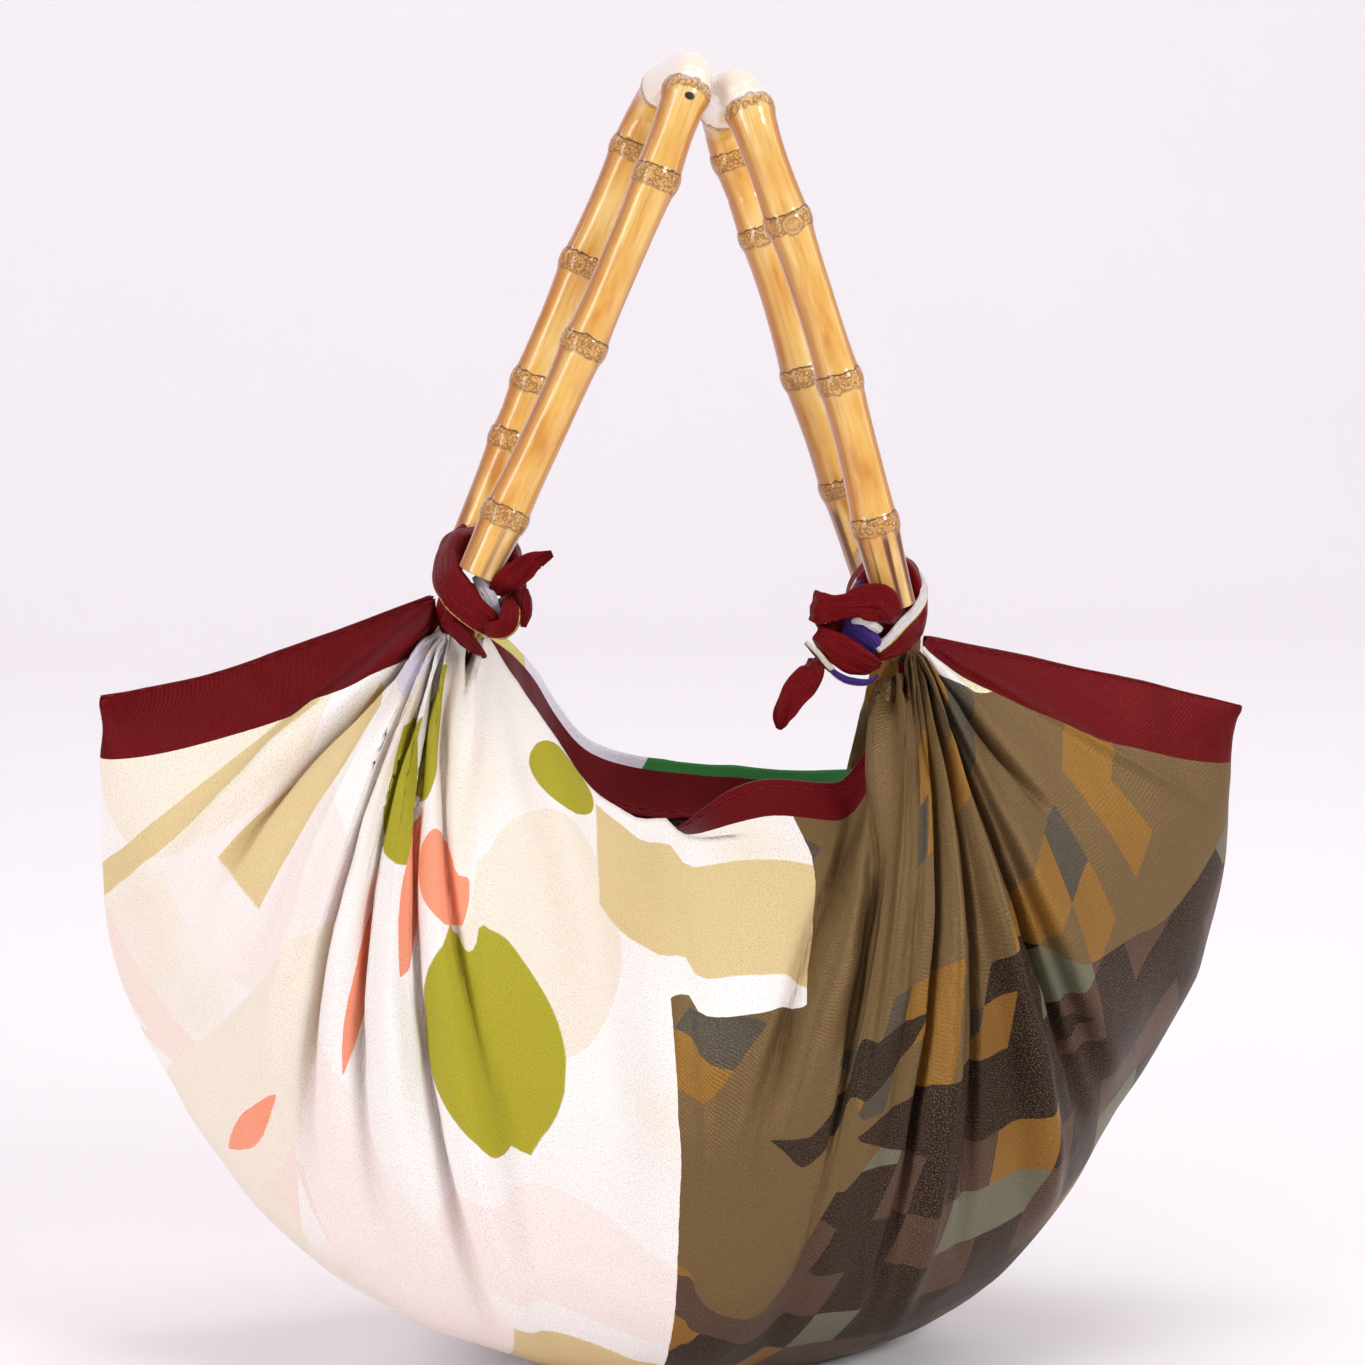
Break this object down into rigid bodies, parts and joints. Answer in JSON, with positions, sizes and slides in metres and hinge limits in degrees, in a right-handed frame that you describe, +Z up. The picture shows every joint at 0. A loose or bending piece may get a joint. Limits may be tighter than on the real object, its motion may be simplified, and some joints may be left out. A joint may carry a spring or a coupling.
{
  "type": "knotted silk scarf bag with bamboo handles",
  "caption": "Half-moon hand bag made of one square silk scarf, folded and knotted round the bars of a pair of closed bamboo handles.",
  "frame": {"origin": "middle of the flat spot that the bag rests on", "axes": "+Z up, +X from the left knot to the right knot, the front faces -Y"},
  "size_m": [0.5224, 0.2449, 0.5943],
  "materials": {
    "silk": "printed silk twill, soft satin sheen",
    "bamboo": "lacquered bamboo",
    "dowel": "smooth bamboo rod"
  },
  "bodies": {
    "root": {"scarf": "silk", "cane_left": "bamboo", "cane_right": "bamboo", "bar_left": "dowel", "bar_right": "dowel"}
  },
  "joints": []
}
